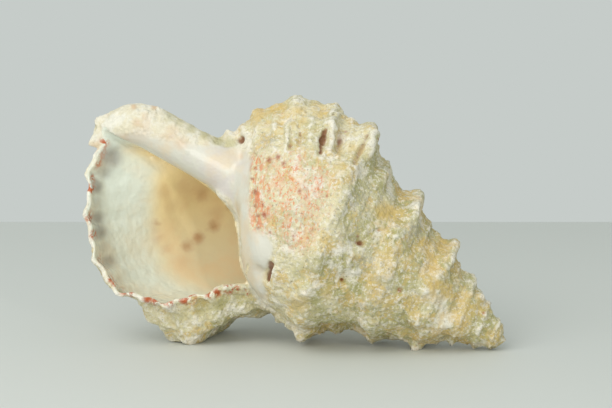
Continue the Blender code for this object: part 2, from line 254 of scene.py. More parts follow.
def normalsOf(curve):
    along = np.gradient(curve, axis=0)
    along /= np.linalg.norm(along, axis=1)[:, None]
    return np.column_stack([along[:, 1], -along[:, 0]])


# The whorl's section and the rim that it opens into at the last lip, as even points
section = spline(coil["whorl"], coil["samples"])
rim = spline(coil["rim"], coil["samples"])
sectionRun = runOf(section)
sectionNormals = normalsOf(section)


def roundness(angle):
    wide = 0.5 + 0.5 * math.cos(math.radians(2 * angle))
    return coil["flatRatio"] + (coil["wideRatio"] - coil["flatRatio"]) * wide


def oldLipShare(angle):
    # a slow rise up to each old lip and a sharp fall after it
    after = angle % oldLip["step"]
    before = oldLip["step"] - after
    ledge = 0.25 * smooth((oldLip["spread"] - before) / 5.0)
    slope = 0.75 * smooth(1.0 - before / oldLip["spread"])
    past = smooth(1.0 - after / oldLip["edge"])
    return np.maximum(ledge + slope, past)


def knobAngles():
    # even steps round the shoulder, but not on an old lip or where the own knobs are
    found = []
    half = oldLip["step"] / 2
    for step in range(-5, 48):
        angle = knobForm["start"] - knobForm["step"] * step
        turn = math.floor(-angle / 360.0)
        within = knobForm["ownFirst"] < angle + 360.0 * turn < knobForm["ownLast"]
        own = within and turn < knobForm["ownTurns"]
        fromLip = abs((angle + half) % oldLip["step"] - half)
        if fromLip > knobForm["clearOfLip"] and not own:
            found.append(angle)
    return found


def exposed(start, end):
    # 1 along the section between two (from apex, length) steps
    return smooth((section[:, 1] - start[0]) / start[1]) * smooth((end[0] - section[:, 1]) / end[1])


def pastShoulder(shoulder):
    return sectionRun - np.interp(shoulder, section[:, 1], sectionRun)


def flared(angle):
    last = smooth((angle + flareForm["angle"]) / flareForm["angle"])
    share = max(last, flareForm["oldLips"] * oldLipShare(angle))
    return flareForm["out"] * share**2 * exposed(flareForm["rise"], flareForm["end"])


def opening(angle, first):
    base, length = spaceForm["base"]
    start = first + (spaceForm["baseAngle"] - first) * smooth((section[:, 1] - base) / length)
    return smooth((angle - start) / (coil["lipAngle"] - start))


def cords():
    turns = 2 * math.pi * pastShoulder(coil["shoulder"]) / cordForm["pitch"]
    waves = 0.6 * np.cos(turns) + 0.4 * np.cos(2 * turns)
    return exposed(cordForm["start"], cordForm["end"]) * waves


def callusShare(angle, fromApex):
    # the glaze laid over the whorl beside the mouth, 1 within its raised edge
    angles, edges = np.array(callusForm["edge"]).T
    share = smooth((fromApex - np.interp(angle, angles, edges)) / callusForm["slope"])
    return share * (angle > angles[0]) * (angle < angles[-1])


def whorlRow(angle, knobs):
    share = oldLipShare(angle)
    row = section.copy()
    row[:, 0] *= roundness(angle) + oldLip["rise"] * share
    late = smooth(1.0 + angle / flareForm["shoulderAngle"])
    fromShoulder = pastShoulder(coil["shoulder"] + flareForm["shoulderShift"] * late)
    band = np.exp(-((fromShoulder / knobForm["length"]) ** 2))
    secondBand = np.exp(-(((fromShoulder - cordForm["pitch"]) / (0.6 * knobForm["length"])) ** 2))
    out = flared(angle)
    for knob in knobs:
        bump = math.exp(-(((angle - knob) / knobForm["angle"]) ** 2))
        out += bump * knobForm["height"] * (band + knobForm["secondRow"] * secondBand)
    back = max(0, round(-angle / oldLip["step"]))
    lipBand = np.exp(-((fromShoulder / knobForm["lipLength"]) ** 2))
    out += oldLip["knobs"][back] * share * (band if back else lipBand)
    leaning = math.exp(-(((angle - knobForm["leaningAngle"]) / knobForm["angle"]) ** 2))
    out += knobForm["leaningHeight"] * leaning * band
    ridges = cords()
    fluted = smooth(cordForm["fluteGain"] * share)
    out += ridges * (cordForm["height"] + (cordForm["oldLipHeight"] - cordForm["height"]) * fluted)
    out += callusForm["rise"] * callusShare(angle, section[:, 1])
    fromCorner = (section[:, 1] - lipCorner["fromApex"]) / lipCorner["length"]
    out -= lipCorner["depth"] * smooth(1.0 + angle / lipCorner["angle"]) * np.exp(-(fromCorner**2))
    row += sectionNormals * out[:, None]
    edge = rim + sectionNormals * (cordForm["rimHeight"] * ridges)[:, None]
    return row + (edge - row) * opening(angle, 0.0)[:, None]


def shellPoints(angle, row):
    # a row of the half plane set at its angle and size, along the shell's wide, front and long axes
    size = growth(angle)
    turned = math.radians(angle)
    across, along = row[:, 0] * size, row[:, 1] * size - coil["apexSetback"]
    return np.column_stack([across * math.cos(turned), across * math.sin(turned), along])


def tubeMesh(name, rows):
    rings, sides = len(rows), len(rows[0])
    ring = np.arange(rings - 1)[:, None] * sides
    side = np.arange(sides)
    after = (side + 1) % sides
    corners = [ring + side, ring + after, ring + sides + after, ring + sides + side]
    faces = np.stack(corners, axis=-1).reshape(-1, 4).tolist()
    faces.append(list(reversed(range(sides))))
    faces.append(list(range((rings - 1) * sides, rings * sides)))
    mesh = bpy.data.meshes.new(name)
    mesh.from_pydata((np.vstack(rows) * mm).tolist(), [], faces)
    mesh.update()
    return mesh


def coilAngles():
    found = [coil["lipAngle"]]
    while found[-1] > coil["firstAngle"]:
        reach = coil["whorl"][4][0] * growth(found[-1])
        found.append(found[-1] - min(6.0, math.degrees(coil["rowArc"] / reach)))
    return found[::-1]


def whorlRows():
    knobs = knobAngles()
    angles = np.array(coilAngles())
    rows = [shellPoints(angle, whorlRow(angle, knobs)) for angle in angles]
    return angles, raised(np.array(rows), angles)


def raised(rows, angles):
    # each own knob is pushed out of the skin, and each hollow into it
    outward = np.cross(np.gradient(rows, axis=0), np.gradient(rows, axis=1))
    outward /= np.maximum(np.linalg.norm(outward, axis=2), 1e-9)[:, :, None]
    moved = np.zeros(rows.shape)
    for angle, height, radius, rise in knobForm["own"] + knobForm["hollows"]:
        ring, side = np.argmin(np.abs(angles - angle)), np.argmin(np.abs(section[:, 1] - height))
        gap = np.linalg.norm(rows - rows[ring, side], axis=2)
        moved += (rise * np.exp(-((gap / radius) ** 2)))[:, :, None] * outward[ring, side]
    return rows + moved


def whorls(angles, rows):
    core = np.array([(-1.2, height) for height in np.linspace(186.0, 88.0, 20)])
    return tubeMesh("whorls", [np.vstack([row, shellPoints(a, core)]) for a, row in zip(angles, rows)])


def lumpy(mesh):
    places = pointsOf(mesh)
    scaled = [Vector(place) for place in places / (solidForm["lumpSize"] * mm)]
    push = np.array([noise.noise(at) + 0.5 * noise.noise(at * 2.1) for at in scaled])
    setPoints(mesh, places + normalsAt(mesh) * (push * solidForm["lumpHeight"] * mm)[:, None])
    return mesh


def column():
    rows = []
    offsets = spline(columnForm["rows"], 60)
    turns = np.linspace(0.0, 2 * math.pi, columnForm["sides"], endpoint=False)
    for along, offset, wide, deep in offsets:
        across = -offset + wide * np.cos(turns)
        front = 0.5 * offset + deep * np.sin(turns)
        level = np.full(columnForm["sides"], along - coil["apexSetback"])
        rows.append(np.column_stack([across, front, level]))
    return tubeMesh("column", rows)


def livingSpace():
    edge = rim + normalsOf(rim) * (cordForm["rimHeight"] * cords() - spaceForm["lipEdge"])[:, None]
    inner = spline(spaceForm["inner"], 40)
    rows = []
    for angle in np.arange(spaceForm["firstAngle"], spaceForm["lastAngle"] + 1.0, 1.5):
        row = section.copy()
        row[:, 0] *= roundness(min(angle, 0.0))
        row += sectionNormals * (flared(min(angle, 0.0)) - spaceForm["wall"])[:, None]
        row += (edge - row) * opening(angle, spaceForm["mouthAngle"])[:, None]
        row = row[(row[:, 1] > spaceForm["corner"]) & (row[:, 1] < spaceForm["canal"])]
        row = np.vstack([spline(row, 110), inner])
        grown = smooth((angle - spaceForm["firstAngle"]) / spaceForm["tailAngle"])
        middle = row.mean(axis=0)
        row = middle + (row - middle) * (spaceForm["tailSize"] * (1.0 - grown) + grown)
        rows.append(shellPoints(angle, row))
    return tubeMesh("living space", rows)


def restingPose():
    rise, back = math.radians(coil["axisRise"]), math.radians(coil["axisTurnBack"])
    axis = Vector((-math.cos(rise) * math.cos(back), math.cos(rise) * math.sin(back), math.sin(rise)))
    down = Vector((0.0, 0.0, -1.0))
    wide = (down - axis * down.dot(axis)).normalized()
    front = axis.cross(wide)
    roll = math.radians(coil["rollBack"])
    lip = wide * math.cos(roll) + front * math.sin(roll)
    face = front * math.cos(roll) - wide * math.sin(roll)
    return Matrix((lip, face, axis)).transposed().to_4x4()


# Small tools on meshes
def pointsOf(mesh):
    places = np.empty(len(mesh.vertices) * 3, np.float32)
    mesh.vertices.foreach_get("co", places)
    return places.reshape(-1, 3).astype(float)


def setPoints(mesh, places):
    mesh.vertices.foreach_set("co", places.astype(np.float32).ravel())
    mesh.update()


def normalsAt(mesh):
    outward = np.empty(len(mesh.vertices) * 3, np.float32)
    mesh.vertex_normals.foreach_get("vector", outward)
    return outward.reshape(-1, 3).astype(float)


def applied(shape):
    # the object's mesh with its modifiers made real
    graph = bpy.context.evaluated_depsgraph_get()
    mesh = bpy.data.meshes.new_from_object(shape.evaluated_get(graph))
    shape.modifiers.clear()
    shape.data = mesh
    return mesh


def remesh(shape, size):
    made = shape.modifiers.new("one skin", "REMESH")
    made.mode = "VOXEL"
    made.voxel_size = size * mm
    return applied(shape)


def joined(name, meshes):
    places, faces, start = [], [], 0
    for mesh in meshes:
        places.append(pointsOf(mesh))
        faces += [[start + corner for corner in face.vertices] for face in mesh.polygons]
        start += len(mesh.vertices)
    made = bpy.data.meshes.new(name)
    made.from_pydata(np.vstack(places).tolist(), [], faces)
    return made


class Surface:
    # the mesh as arrays in mm, with the neighbours of each point
    def __init__(self, mesh):
        self.mesh = mesh
        self.places = pointsOf(mesh) / mm
        self.outward = normalsAt(mesh)
        edges = np.empty(len(mesh.edges) * 2, np.int32)
        mesh.edges.foreach_get("vertices", edges)
        self.edges = edges.reshape(-1, 2)
        self.count = len(self.places)
        self.links = np.bincount(edges, minlength=self.count)

    def averaged(self, values, times):
        # each value drawn towards the mean of its neighbours
        first, second = self.edges[:, 0], self.edges[:, 1]
        flat = values.reshape(self.count, -1).astype(float)
        for _ in range(times):
            for column in range(flat.shape[1]):
                held = flat[:, column]
                total = np.bincount(first, held[second], self.count)
                total += np.bincount(second, held[first], self.count)
                flat[:, column] = 0.4 * held + 0.6 * total / self.links
        return flat.reshape(values.shape)

    def push(self, amount):
        self.places = self.places + self.outward * amount[:, None]

    def store(self):
        setPoints(self.mesh, self.places * mm)
        self.outward = normalsAt(self.mesh)


def lattice(cell, seed):
    # one even random number for each whole-number cell
    mixed = np.sin(cell @ np.array([127.1, 311.7, 74.7]) + seed * 19.19) * 43758.5453
    return mixed - np.floor(mixed)


def softNoise(places, size, seed):
    # smooth noise from -1 to 1 in lumps of that size
    scaled = places / size
    corner = np.floor(scaled)
    part = smooth(scaled - corner)
    total = np.zeros(len(places))
    for x in (0, 1):
        for y in (0, 1):
            for z in (0, 1):
                share = np.where((x, y, z), part, 1.0 - part).prod(axis=1)
                total += share * lattice(corner + (x, y, z), seed)
    return 2.0 * total - 1.0


def baseShape():
    angles, rows = whorlRows()
    skin = whorls(angles, rows)
    lumpy(skin)
    skin.flip_normals()
    space = livingSpace()
    space.flip_normals()
    stand = restingPose()
    whole = joined("shell skin", [skin, column()])
    whole.transform(stand)
    space.transform(stand)
    report("rows of the coil laid")

    link = bpy.context.scene.collection.objects.link
    shape = bpy.data.objects.new("wornShell", whole)
    cutter = bpy.data.objects.new("living space", space)
    link(shape)
    link(cutter)
    remesh(shape, solidForm["firstVoxel"])
    hollow = shape.modifiers.new("living space", "BOOLEAN")
    hollow.operation = "DIFFERENCE"
    hollow.solver = "EXACT"
    hollow.object = cutter
    applied(shape)
    report("living space cut")
    remesh(shape, solidForm["lastVoxel"])
    report(f"one skin of {len(shape.data.vertices)} points")

    # set down where the CAD model stands
    places = pointsOf(shape.data)
    low, high = places.min(axis=0), places.max(axis=0)
    middle = (low + high) / 2
    shift = Vector((-middle[0], -middle[1], -low[2] - solidForm["wear"] * mm))
    for mesh in (shape.data, space):
        mesh.transform(Matrix.Translation(shift))
    bpy.data.objects.remove(cutter)
    toPlace = Matrix.Translation(shift) @ stand
    return shape, space, toPlace, angles, rows


# Where each point of the surface lies on the coil
class ShellMap:
    def __init__(self, surface, space, toPlace, angles, rows):
        skin = rows.reshape(-1, 3)
        owners = np.repeat(angles, rows.shape[1])
        tree = KDTree(len(skin))
        for index, place in enumerate(skin):
            tree.insert(place, index)
        tree.balance()
        turn = np.array(toPlace.to_3x3())
        local = (surface.places - np.array(toPlace.translation) / mm) @ turn
        found = [tree.find(place) for place in local]
        nearest = owners[[hit[1] for hit in found]]
        offSkin = np.array([hit[2] for hit in found])
        around = np.degrees(np.arctan2(local[:, 1], local[:, 0]))
        self.angle = around + 360.0 * np.round((nearest - around) / 360.0)
        self.size = growth(self.angle)
        self.fromApex = (local[:, 2] + coil["apexSetback"]) / self.size
        self.reach = np.hypot(local[:, 0], local[:, 1])
        self.run = np.interp(self.fromApex, section[:, 1], sectionRun)
        self.fromShoulder = self.run - np.interp(coil["shoulder"], section[:, 1], sectionRun)

        hollowTree = BVHTree.FromPolygons(
            [vertex.co for vertex in space.vertices], [face.vertices for face in space.polygons]
        )
        near = [hollowTree.find_nearest(Vector(place) * mm)[3] for place in surface.places]
        fromSpace = np.array(near) / mm
        self.inside = smooth((1.0 - fromSpace) / 0.6)
        self.onColumn = smooth((offSkin - 1.2) / 0.8) * (1.0 - self.inside)


makeCamera()
shape, space, toPlace, angles, rows = baseShape()
surface = Surface(shape.data)
shellMap = ShellMap(surface, space, toPlace, angles, rows)
report("surface mapped to the coil")


# What the photograph shows on the near side, by where it stands in the picture, in pixels
photoMarks = {
    # small raised knobs: (x, y, radius in mm, height in mm)
    "knobs": [
        (410, 198, 3.4, 0.9), (470, 279, 2.6, 1.0), (480, 300, 2.2, 0.8),
        (326, 108, 2.6, 1.1), (287, 103, 3.0, 1.2), (350, 122, 2.8, 1.1), (262, 111, 3.0, 0.9),
        (246, 128, 2.6, 1.0), (312, 126, 2.2, 0.9), (335, 128, 2.2, 1.0), (345, 150, 2.2, 0.8),
        (372, 150, 2.8, 0.8), (386, 172, 2.8, 0.8), (319, 255, 2.8, 0.7), (303, 292, 2.6, 0.7),
        (400, 310, 2.6, 0.7), (434, 250, 2.8, 0.8), (300, 118, 2.0, 0.8), (275, 126, 2.2, 0.7),
        (158, 108, 1.5, 0.8), (147, 112, 1.3, 0.7), (166, 116, 1.4, 0.7), (174, 124, 1.2, 0.5),
        (136, 112, 1.4, 0.6), (153, 121, 1.2, 0.5), (131, 107, 1.3, 0.6), (184, 128, 1.2, 0.4),
        (172, 134, 1.8, 0.5), (180, 142, 1.6, 0.5),
        (186, 150, 1.5, 0.4), (168, 126, 1.6, 0.5), (155, 157, 1.2, 0.4), (165, 162, 1.2, 0.4),
    ],
    # forms shifted as the outline asks: (x, y, radius in mm, right in mm, up in mm)
    "shifts": [
        (167, 341, 4.5, 0.5, 4.5), (172, 343, 2.6, 0.5, 2.0), (202, 340, 3.2, -0.5, 2.4),
        (332, 334, 5.5, 0.0, 5.0), (345, 332, 4.5, 0.0, 4.0), (318, 335, 4.0, 0.0, 2.0),
        (369, 343, 3.2, 0.0, 2.2), (391, 341, 3.2, 0.0, 2.2), (452, 343, 3.6, 0.0, 2.4),
        (442, 234, 3.6, 0.6, 2.4), (414, 194, 3.2, 0.4, 1.6), (467, 276, 2.8, 0.5, 1.8),
        (481, 300, 2.2, 0.5, 1.4), (425, 208, 3.2, -1.6, 0.0), (95, 120, 2.2, -0.6, 1.0),
        (94, 130, 2.6, 2.0, 0.0), (91, 143, 2.2, -1.2, -0.6), (84, 195, 9.0, 1.0, 0.0),
        (84, 225, 9.0, 1.0, 0.0), (411, 340, 6.0, 0.0, -1.0), (398, 334, 3.6, 0.0, -1.4),
        (424, 335, 3.6, 0.0, -1.4),
    ],
    # hollows and pits, the same way
    "pits": [
        (324, 139, 1.5, -1.0), (340, 142, 2.0, -0.5), (240, 139, 1.9, -2.8),
        (359, 242, 1.2, -2.2), (343, 280, 1.1, -2.0), (360, 262, 2.0, -0.6),
        (376, 218, 2.4, -0.6), (352, 205, 2.8, -0.5), (330, 245, 2.4, -0.4), (400, 256, 2.4, -0.6),
        (436, 268, 2.2, -0.6), (399, 291, 1.2, -0.8), (270, 118, 1.8, -0.6),
        (288, 116, 1.6, -0.7), (363, 132, 1.6, -0.6), (418, 236, 1.0, -0.7), (345, 262, 1.0, -0.5),
        (372, 292, 1.0, -0.6), (305, 139, 0.9, -0.7), (309, 112, 1.2, -0.6), (254, 122, 1.3, -0.6),
    ],
    # cracks and seams: (depth in mm, half width in mm, points)
    "seams": [
        (-0.9, 0.55, [(402, 226), (392, 225), (384, 229), (376, 231), (368, 236), (361, 244)]),
        (-0.7, 0.6, [(343, 280), (341, 288), (339, 298), (344, 306), (352, 312)]),
        (-1.1, 0.6, [(322, 117), (332, 114), (340, 111)]),
        (-0.6, 1.1, [(288, 114), (298, 118), (310, 113), (322, 117)]),
        (-2.2, 1.2, [(270, 265), (268, 272), (267, 280)]),
        (0.7, 1.3, [(277, 262), (274, 274), (277, 286)]),
        # furrows and ribs of the old lip, upright in the photograph
        (-0.7, 1.3, [(281, 122), (282, 134), (281, 146)]),
        (-1.1, 1.2, [(292, 126), (292, 138), (290, 148)]),
        (-1.3, 0.7, [(299, 126), (300, 134), (299, 144)]),
        (-2.0, 1.6, [(325, 129), (323, 140), (321, 151)]),
        (-1.2, 1.8, [(342, 129), (340, 140), (338, 150)]),
        (-1.4, 1.9, [(366, 134), (362, 148), (356, 160)]),
        (-0.5, 1.3, [(267, 122), (267, 135), (265, 148)]),
        (0.5, 1.5, [(274, 116), (274, 130), (273, 147)]),
        (0.8, 1.6, [(311, 119), (311, 134), (310, 151)]),
        (1.0, 1.3, [(332, 119), (332, 136), (330, 153)]),
        (1.0, 1.6, [(352, 122), (351, 138), (346, 154)]),
        (0.6, 1.6, [(374, 132), (371, 146), (367, 160)]),
        # ribs and furrows of the lip's outer face
        (0.7, 1.2, [(151, 304), (160, 316), (174, 331)]),
        (-0.7, 1.1, [(158, 305), (167, 318), (178, 331)]),
        (0.8, 1.2, [(168, 306), (176, 318), (183, 334)]),
        (-0.8, 1.1, [(178, 306), (185, 316), (190, 327)]),
        (0.6, 1.3, [(190, 303), (196, 314), (199, 326)]),
        (-0.6, 1.2, [(202, 301), (207, 311), (209, 322)]),
        (0.6, 1.3, [(214, 297), (218, 306), (220, 315)]),
        (-0.5, 1.2, [(228, 293), (231, 301), (232, 309)]),
        (0.5, 1.3, [(240, 292), (242, 300), (243, 307)]),
        # small furrows of the canal
        (-0.5, 0.55, [(139, 107), (141, 114), (140, 121)]),
        (-0.5, 0.55, [(147, 106), (149, 114), (148, 122)]),
        (-0.5, 0.55, [(156, 108), (158, 116), (157, 123)]),
        (-0.4, 0.55, [(164, 114), (166, 121), (164, 128)]),
        (-0.7, 0.5, [(249, 150), (253, 153), (258, 158)]),
        (-0.5, 0.5, [(378, 313), (390, 311), (402, 313), (410, 319)]),
        (-0.5, 0.5, [(374, 320), (388, 319), (398, 323), (408, 329)]),
        (-0.4, 0.5, [(372, 326), (384, 325), (394, 328)]),
        (-0.5, 0.7, [(397, 240), (400, 255), (398, 270)]),
        (-0.6, 0.8, [(449, 236), (450, 250), (449, 262)]),
        (-0.5, 0.6, [(421, 268), (418, 284), (412, 296)]),
    ],
    # white glaze spread over the body beside the mouth, and up the column
    "glaze": [
        (257, 300), (250, 288), (244, 274), (242, 262), (240, 218), (232, 200), (212, 186), (176, 174),
        (150, 160), (132, 150), (108, 146), (100, 137), (118, 134), (142, 134), (162, 139), (182, 141),
        (202, 146), (226, 147), (241, 149), (248, 153), (252, 160), (250, 180), (249, 205), (250, 229),
        (262, 231), (270, 238), (274, 247), (271, 258), (265, 270), (263, 281), (266, 289), (268, 298),
    ],
    # chalky cream side of the canal, above the glaze
    "canal": [
        (80, 112), (93, 106), (129, 94), (150, 94), (188, 112), (225, 132), (237, 142), (238, 152),
        (226, 152), (202, 150), (182, 146), (162, 144), (142, 139), (118, 140), (112, 152), (84, 152),
    ],
    # the tan bowl deep in the mouth
    "bowl": [
        (128, 150), (146, 158), (158, 168), (153, 180), (152, 200), (151, 225), (155, 250), (160, 270),
        (176, 283), (200, 292), (225, 296), (262, 292), (262, 200), (203, 165), (145, 140),
    ],
    # blurred brown spots in the bowl: (x, y, radius in pixels, strength)
    "bowlSpots": [
        (214, 226, 6, 0.8), (232, 205, 6, 0.6), (198, 238, 6, 0.85), (187, 246, 6, 0.65),
        (203, 195, 7, 0.4), (164, 192, 9, 0.3), (184, 188, 8, 0.22), (155, 223, 4, 0.8),
        (156, 231, 3, 0.5), (156, 239, 4, 0.9), (170, 206, 8, 0.2), (216, 214, 9, 0.2),
        (178, 262, 10, 0.2), (145, 176, 2, 0.9), (167, 250, 7, 0.3),
    ],
    # red and brown spots on the rim of the lip: (x, y, radius in pixels)
    "lipSpots": [
        (87, 218, 6), (92, 235, 5), (88, 189, 6), (92, 178, 4), (99, 165, 4), (103, 156, 4), (102, 259, 5),
        (108, 266, 4), (111, 279, 4), (114, 284, 3), (124, 291, 5), (132, 294, 4), (148, 299, 5),
        (155, 301, 5), (163, 302, 4), (170, 303, 4), (184, 300, 6), (191, 298, 6), (209, 295, 4),
        (217, 293, 5), (229, 289, 6), (236, 289, 4), (246, 292, 4), (104, 143, 5), (107, 150, 4),
    ],
    # painted shade of the hollows just inside the rim: (x, y, radius in pixels, strength)
    "lipShade": [
        (111, 157, 12, 0.8), (104, 171, 9, 0.5), (95, 186, 8, 0.8), (96, 218, 8, 0.7), (98, 232, 9, 0.8),
        (108, 262, 8, 0.6), (94, 203, 7, 0.25), (118, 283, 6, 0.3), (103, 247, 6, 0.3),
    ],
    # dark red spots on the body: (x, y, radius in pixels)
    "redSpots": [
        (253, 179, 2), (255, 192, 3), (264, 215, 3), (256, 168, 2), (262, 204, 2), (254, 206, 2),
        (269, 160, 3), (278, 157, 3), (284, 164, 3), (259, 228, 2), (301, 213, 1.5), (300, 191, 2),
        (327, 196, 2), (400, 290, 2.5), (258, 216, 2), (294, 236, 1.5), (357, 243, 2), (343, 280, 1.5),
    ],
    # salmon stain on the body beside the mouth
    "redZone": [
        (250, 156), (262, 151), (292, 152), (316, 158), (332, 172), (330, 200), (320, 232), (306, 250),
        (288, 246), (272, 236), (253, 226),
    ],
    # ochre and grey stains of the crust: (x, y, radius in pixels, strength)
    "ochreStains": [
        (256, 113, 15, 1.0), (276, 108, 13, 1.0), (298, 116, 11, 0.8), (318, 108, 9, 0.6),
        (386, 212, 11, 0.9), (377, 230, 9, 0.9), (430, 262, 15, 0.8), (440, 290, 13, 0.7),
        (444, 245, 9, 0.6), (300, 303, 11, 0.6), (328, 292, 9, 0.5), (468, 300, 10, 0.6),
        (340, 168, 8, 0.5), (407, 255, 9, 0.6), (262, 275, 6, 0.7), (354, 150, 8, 0.4),
    ],
    "greyStains": [
        (355, 200, 14, 0.8), (414, 230, 11, 0.9), (365, 262, 14, 0.8), (382, 290, 12, 0.6),
        (268, 141, 10, 0.8), (372, 300, 10, 0.5), (300, 215, 14, 0.5), (345, 235, 11, 0.6),
        (398, 320, 10, 0.4),
    ],
    # green stains of the canal's upper edge, a green-tan on the lip's outer face that is partly its own
    # tone and partly painted shade, tan ones of canal and column
    "greenStainsAndShade": [
        (186, 316, 9, 0.5), (202, 308, 9, 0.7), (220, 302, 9, 0.8), (238, 298, 8, 0.6),
        (172, 318, 8, 0.3), (192, 128, 6, 0.7), (205, 134, 6, 0.8), (218, 140, 7, 0.9),
        (230, 144, 7, 0.9), (170, 116, 7, 0.6), (180, 121, 6, 0.5),
    ],
    "tanStains": [
        (134, 107, 3, 1.0), (154, 107, 3, 1.0), (136, 123, 5, 0.6), (172, 133, 8, 0.5),
        (181, 143, 8, 0.5), (145, 116, 4, 0.4), (140, 134, 12, 0.35), (242, 157, 3, 0.6),
        (245, 178, 3, 0.5), (98, 146, 7, 0.7), (246, 200, 3, 0.5), (128, 140, 8, 0.4),
        (262, 109, 4, 0.4),
    ],
}


def insideOutline(x, y, outline):
    # distance into the outline in pixels, negative outside it
    points = np.array(outline, float)
    after = np.roll(points, -1, axis=0)
    crossed = np.zeros(len(x), bool)
    nearest = np.full(len(x), 1e9)
    for (ax, ay), (bx, by) in zip(points, after):
        across, down = bx - ax, by - ay
        over = (ay > y) != (by > y)
        crossed ^= over & (x < across * (y - ay) / (down or 1e-9) + ax)
        part = ((x - ax) * across + (y - ay) * down) / (across**2 + down**2)
        part = np.clip(part, 0.0, 1.0)
        nearest = np.minimum(nearest, np.hypot(x - ax - part * across, y - ay - part * down))
    return np.where(crossed, nearest, -nearest)


class Sight:
    # the surface as the photograph's camera sees it
    def __init__(self, surface):
        faces = np.empty(len(surface.mesh.loops), np.int32)
        surface.mesh.loops.foreach_get("vertex_index", faces)
        sides = [face.loop_total for face in surface.mesh.polygons]
        starts = np.concatenate([[0], np.cumsum(sides)])
        polygons = [faces[a:b].tolist() for a, b in zip(starts, starts[1:])]
        self.tree = BVHTree.FromPolygons(surface.places.tolist(), polygons)
        self.surface = surface
        self.x, self.y = seenAt(surface.places)
        eye = viewAxes()[0]
        toEye = eye - surface.places
        toEye /= np.linalg.norm(toEye, axis=1)[:, None]
        self.facing = (surface.outward * toEye).sum(axis=1)

    def placeAt(self, x, y):
        # the place and direction of the surface at a pixel, or none beside it
        eye, right, up, forward = viewAxes()
        scale = view["sensor"] / view["lens"] / view["wide"]
        ray = forward + right * (x - view["wide"] / 2) * scale - up * (y - view["high"] / 2) * scale
        hit, normal, _, _ = self.tree.ray_cast(Vector(eye), Vector(ray).normalized())
        return (None, None) if hit is None else (np.array(hit), np.array(normal))

    def nearest(self, x, y):
        # the point on the near side that falls closest to the pixel
        away = np.hypot(self.x - x, self.y - y) + 1e3 * (self.facing < 0.0)
        return self.surface.places[np.argmin(away)]


def placeKnobs(surface, sight, marks):
    # round knobs and hollows along the surface's own direction, with how far each point went
    moved = np.zeros((surface.count, 3))
    depth = np.zeros(surface.count)
    for x, y, radius, height in marks:
        place, normal = sight.placeAt(x, y)
        if place is None:
            continue
        index = np.nonzero(np.abs(surface.places - place).max(axis=1) < 2.2 * radius)[0]
        gap = np.linalg.norm(surface.places[index] - place, axis=1)
        share = np.exp(-((gap / radius) ** 2)) * smooth(surface.outward[index] @ normal + 0.6)
        moved[index] += share[:, None] * height * normal
        depth[index] += share * height
    surface.places = surface.places + moved
    return depth


def shiftForms(surface, sight, marks):
    # parts of the outline moved across the picture
    right, up = viewAxes()[1:3]
    moved = np.zeros((surface.count, 3))
    for x, y, radius, across, rise in marks:
        place = sight.nearest(x, y)
        gap = np.linalg.norm(surface.places - place, axis=1)
        moved += np.exp(-((gap / radius) ** 2))[:, None] * (across * right + rise * up)
    surface.places = surface.places + moved


def spotted(surface, sight, marks, chosen):
    # soft round spots where the photograph shows them, on the points chosen
    held = np.zeros(surface.count)
    index = np.nonzero(chosen)[0]
    x, y = sight.x[index], sight.y[index]
    for mark in marks:
        across, down, radius = mark[:3]
        strength = mark[3] if len(mark) > 3 else 1.0
        gap = np.hypot(x - across, y - down) / radius
        held[index] = np.maximum(held[index], strength * smooth(1.35 - gap))
    return held


def placeSeams(surface, sight, seams):
    # long furrows and ribs, with how far each point went
    depth = np.zeros(surface.count)
    for height, width, points in seams:
        found = [sight.placeAt(x, y)[0] for x, y in spline(points, 3 * len(points) + 6)]
        share = np.zeros(surface.count)
        for place in found:
            if place is None:
                continue
            index = np.nonzero(np.abs(surface.places - place).max(axis=1) < 3 * width)[0]
            gap = np.linalg.norm(surface.places[index] - place, axis=1)
            share[index] = np.maximum(share[index], np.exp(-((gap / width) ** 2)))
        depth += share * height
    surface.push(depth)
    return depth


crust = {
    "lumps": [(5.5, 0.48), (2.7, 0.34), (1.45, 0.28)],  # (size, height) in mm
    "threadPitch": 2.7,
    "threadHeight": 0.14,
    "threadPatch": 9.0,
    "laminaStep": 4.2,  # degrees
    "laminaHeight": 0.22,
    "laminaBend": (3.0, 12.0),  # degrees, and mm from one bend to the next
    "onPale": 0.45,  # what is left of the crust there
    "beadPitch": 6.5,
    "beadStep": 7.5,
    "beadHeight": 0.5,
    "pitCount": 900,
    "pitRadius": (0.7, 1.9),
    "pitDepth": (0.15, 0.75),
}


def roughen(surface, shellMap, glaze, pale, unseen):
    # the crust's lumps, threads and growth steps, weaker on the pale parts and none on the glaze
    bare = (1.0 - shellMap.inside) * (1.0 - glaze) * (1.0 - (1.0 - crust["onPale"]) * pale)
    out = np.zeros(surface.count)
    for seed, (size, height) in enumerate(crust["lumps"]):
        out += height * softNoise(surface.places, size, seed + 3)
    patchy = softNoise(surface.places, crust["threadPatch"], 21)
    threads = np.cos(2 * math.pi * shellMap.run * shellMap.size / crust["threadPitch"])
    out += crust["threadHeight"] * threads * (0.6 + 0.4 * patchy)
    bend, reach = crust["laminaBend"]
    bent = shellMap.angle + bend * softNoise(surface.places, reach, 22)
    sheet = bent / crust["laminaStep"]
    out += crust["laminaHeight"] * (sheet - np.floor(sheet) - 0.5)
    # rows of low beads, on the sides that the photograph doesn't show
    level = np.cos(2 * math.pi * shellMap.fromShoulder * shellMap.size / crust["beadPitch"])
    along = np.cos(2 * math.pi * np.radians(shellMap.angle) * shellMap.reach / crust["beadStep"])
    out += crust["beadHeight"] * unseen * np.clip(level, 0.0, None) * np.clip(along, 0.0, None)
    surface.push(out * bare)


